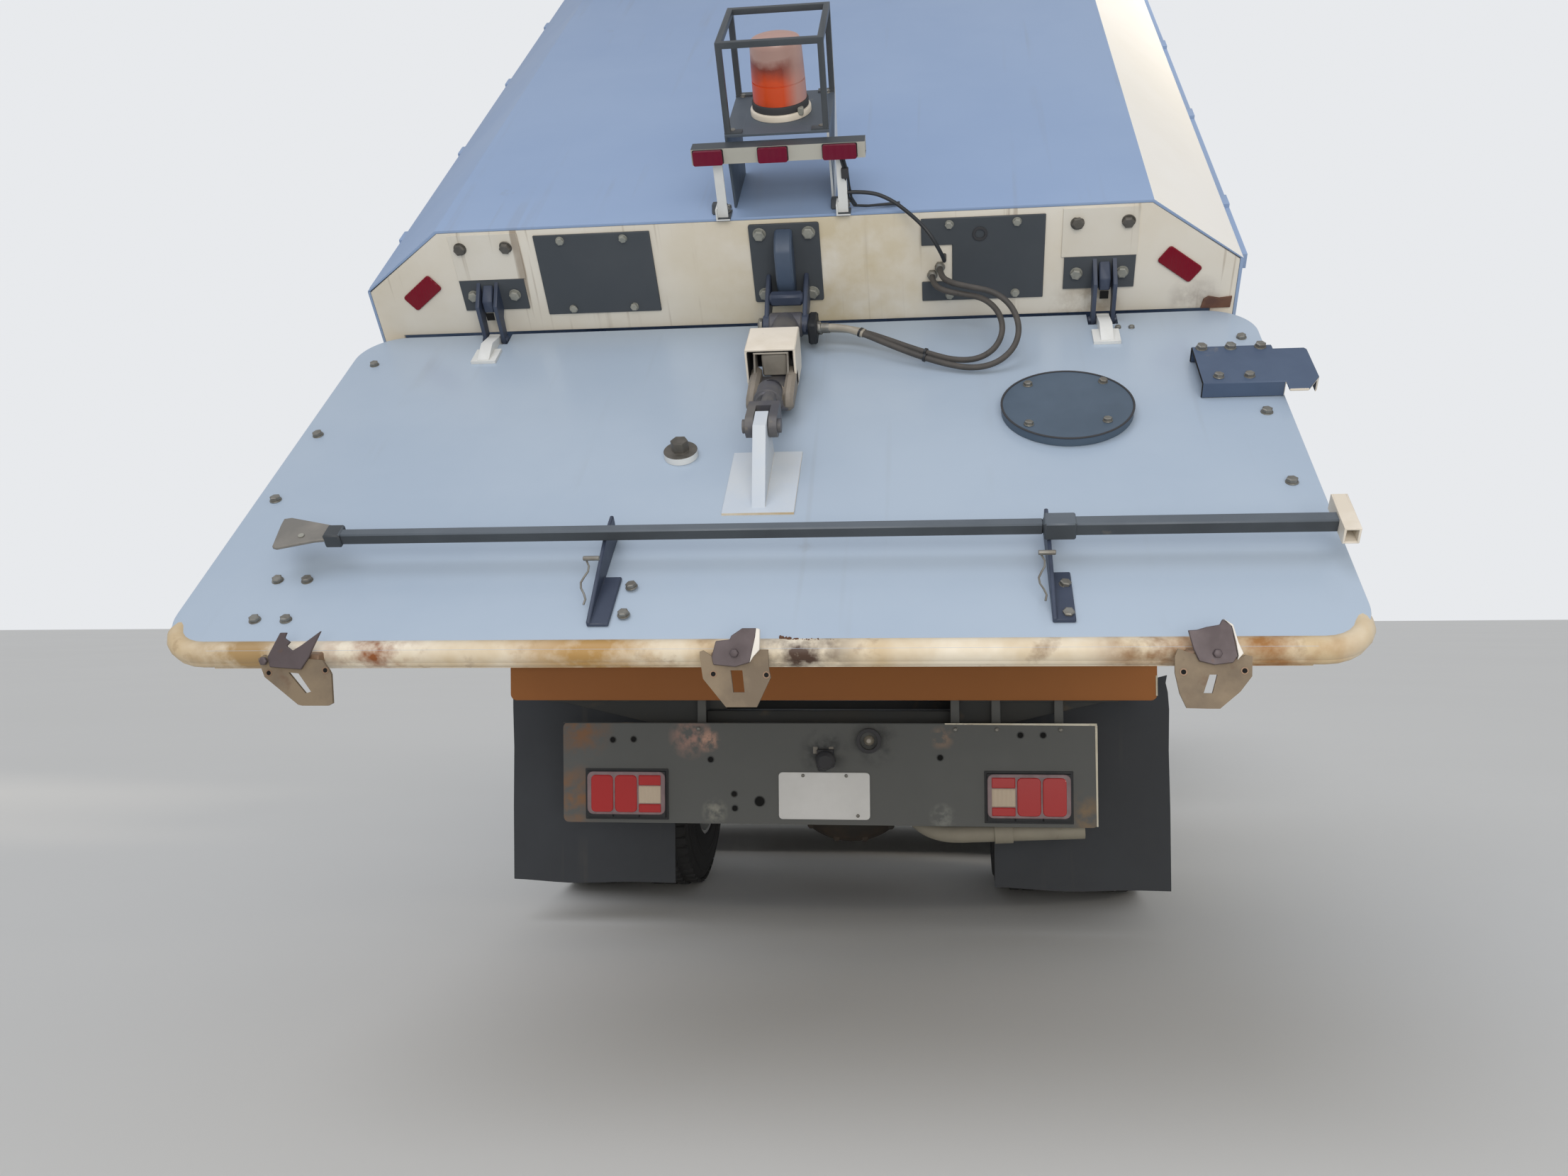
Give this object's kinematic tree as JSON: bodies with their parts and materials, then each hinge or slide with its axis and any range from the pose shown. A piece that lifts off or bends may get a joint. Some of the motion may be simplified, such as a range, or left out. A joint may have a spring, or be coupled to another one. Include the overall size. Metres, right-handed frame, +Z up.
{
  "type": "street sweeper truck",
  "caption": "Two-axle street sweeper truck with a tipping dirt hopper, an upward-opening rear door, side brooms and a suction head.",
  "frame": {"origin": "on the road, in the middle of the footprint of the whole truck with its hopper tipped", "axes": "+X the truck's right, +Y forward, +Z up"},
  "size_m": [2.61, 8.2814, 3.9578],
  "materials": {
    "white_paint": "semi gloss",
    "grey_chassis": "satin, dusty",
    "grey_plate": "matt, rusty",
    "dark_plate": "satin",
    "sill_paint": "matt",
    "blue_grey": "satin",
    "steel": "ground",
    "cast": "rough",
    "rusty_steel": "matt, rusty",
    "tyre_rubber": "matt",
    "rubber": "matt",
    "black_plastic": "matt",
    "bristle": "matt",
    "red_lens": "gloss",
    "amber_lens": "gloss",
    "glass": "clear",
    "seat_fabric": "woven"
  },
  "bodies": {
    "chassis": {"chassis_frame": "grey_chassis", "hopper_subframe": "sill_paint", "tail_plate": "grey_plate", "tail_lamps": "red_lens", "mud_flaps": "rubber", "rear_mudguards": "black_plastic", "exhaust_system": "rusty_steel", "rear_axle": "cast", "front_axle": "cast", "engine_and_drive_shaft": "cast", "fuel_tank": "grey_chassis", "pickup_head": "dark_plate", "suction_ducts": "dark_plate", "power_pack_housing": "white_paint", "front_bumper": "dark_plate"},
    "hopper": {"hopper_floor": "white_paint", "hopper_sides": "white_paint", "hopper_roof": "white_paint", "hopper_ends": "white_paint", "band_fittings": "dark_plate", "light_bar": "black_plastic", "beacon_guard": "dark_plate", "beacon": "amber_lens", "door_hose_upper": "rubber", "door_hose_lower": "rubber", "light_cable": "rubber"},
    "rear_door": {"rear_door": "white_paint", "door_fittings": "white_paint", "latch_rod": "white_paint", "door_latches": "rusty_steel"},
    "lift_barrels": {"lift_barrels": "grey_chassis"},
    "lift_rods": {"lift_rods": "steel"},
    "door_cylinder_barrel": {"door_cylinder_barrel": "blue_grey"},
    "door_cylinder_rod": {"door_cylinder_rod": "steel"},
    "cab": {"cab_floor": "white_paint", "cab_sides": "white_paint", "cab_front": "white_paint", "cab_back": "white_paint", "cab_roof": "white_paint", "cab_glass": "glass", "cab_interior": "seat_fabric", "mirrors": "black_plastic"},
    "cab_door_right": {"cab_door_right": "white_paint"},
    "cab_door_left": {"cab_door_left": "white_paint"},
    "knuckle_right": {"knuckle_right": "cast"},
    "knuckle_left": {"knuckle_left": "cast"},
    "front_wheel_right": {"front_wheel_right": "tyre_rubber"},
    "front_wheel_left": {"front_wheel_left": "tyre_rubber"},
    "rear_wheels_right": {"rear_wheels_right": "tyre_rubber"},
    "rear_wheels_left": {"rear_wheels_left": "tyre_rubber"},
    "broom_arm_right": {"broom_arm_right": "dark_plate"},
    "broom_arm_left": {"broom_arm_left": "dark_plate"},
    "broom_right": {"broom_right": "bristle"},
    "broom_left": {"broom_left": "bristle"}
  },
  "joints": [
    {"name": "hopper_tilt", "type": "hinge", "parent": "chassis", "child": "hopper", "pos_m": [0, -1.93925, 0.985], "axis": [1, 0, 0], "range_deg": [-41, 0]},
    {"name": "rear_door_hinge", "type": "hinge", "parent": "hopper", "child": "rear_door", "pos_m": [0, -2.94723, 1.89368], "axis": [1, 0, 0], "range_deg": [0, 92]},
    {"name": "lift_barrel_hinge", "type": "hinge", "parent": "chassis", "child": "lift_barrels", "pos_m": [0, -1.38925, 0.725], "axis": [1, 0, 0], "range_deg": [-49, 0.5]},
    {"name": "lift_rod_slide", "type": "slide", "parent": "lift_barrels", "child": "lift_rods", "axis": [0, 0.5228, 0.8525], "range_m": [-0.411, 0.005]},
    {"name": "door_cylinder_hinge", "type": "hinge", "parent": "hopper", "child": "door_cylinder_barrel", "pos_m": [0, -3.04727, 1.88678], "axis": [1, 0, 0], "range_deg": [-0.5, 97]},
    {"name": "door_cylinder_slide", "type": "slide", "parent": "door_cylinder_barrel", "child": "door_cylinder_rod", "axis": [0, -0.8283, -0.5603], "range_m": [-0.005, 0.135]},
    {"name": "cab_tilt", "type": "hinge", "parent": "chassis", "child": "cab", "pos_m": [0, 3.99074, 0.76], "axis": [-1, 0, 0], "range_deg": [0, 45]},
    {"name": "cab_door_right_hinge", "type": "hinge", "parent": "cab", "child": "cab_door_right", "pos_m": [1.118, 3.86875, 1.365], "axis": [0, 0, 1], "range_deg": [0, 70]},
    {"name": "cab_door_left_hinge", "type": "hinge", "parent": "cab", "child": "cab_door_left", "pos_m": [-1.118, 3.86875, 1.365], "axis": [0, 0, -1], "range_deg": [0, 70]},
    {"name": "steer_left", "type": "hinge", "parent": "chassis", "child": "knuckle_left", "pos_m": [-0.85, 2.76075, 0.49], "axis": [0, 0, 1], "range_deg": [-35, 35]},
    {"name": "steer_right", "type": "hinge", "parent": "chassis", "child": "knuckle_right", "pos_m": [0.85, 2.76075, 0.49], "axis": [0, 0, 1], "range_deg": [-35, 35]},
    {"name": "front_wheel_left_spin", "type": "hinge", "parent": "knuckle_left", "child": "front_wheel_left", "pos_m": [-1.03, 2.76075, 0.49], "axis": [1, 0, 0], "continuous": true},
    {"name": "rear_wheels_left_spin", "type": "hinge", "parent": "chassis", "child": "rear_wheels_left", "pos_m": [-1.03, -1.03926, 0.49], "axis": [1, 0, 0], "continuous": true},
    {"name": "front_wheel_right_spin", "type": "hinge", "parent": "knuckle_right", "child": "front_wheel_right", "pos_m": [1.03, 2.76075, 0.49], "axis": [1, 0, 0], "continuous": true},
    {"name": "rear_wheels_right_spin", "type": "hinge", "parent": "chassis", "child": "rear_wheels_right", "pos_m": [1.03, -1.03926, 0.49], "axis": [1, 0, 0], "continuous": true},
    {"name": "broom_arm_left_swing", "type": "hinge", "parent": "chassis", "child": "broom_arm_left", "pos_m": [-0.5, 0.89075, 0.6], "axis": [0, 0, 1], "range_deg": [0, 40]},
    {"name": "broom_left_spin", "type": "hinge", "parent": "broom_arm_left", "child": "broom_left", "pos_m": [-0.72, 1.36075, 0.4], "axis": [0, 0, 1], "continuous": true},
    {"name": "broom_arm_right_swing", "type": "hinge", "parent": "chassis", "child": "broom_arm_right", "pos_m": [0.5, 0.89075, 0.6], "axis": [0, 0, -1], "range_deg": [0, 40]},
    {"name": "broom_right_spin", "type": "hinge", "parent": "broom_arm_right", "child": "broom_right", "pos_m": [0.72, 1.36075, 0.4], "axis": [0, 0, 1], "continuous": true}
  ],
  "couplings": [
    {"joint": "lift_barrel_hinge", "follows": "hopper_tilt", "ratio": 1.179},
    {"joint": "lift_rod_slide", "follows": "hopper_tilt", "m_per_rad": 0.568},
    {"joint": "door_cylinder_hinge", "follows": "rear_door_hinge", "ratio": 1.0475},
    {"joint": "door_cylinder_slide", "follows": "rear_door_hinge", "m_per_rad": 0.0817},
    {"joint": "steer_right", "follows": "steer_left", "ratio": 1}
  ]
}
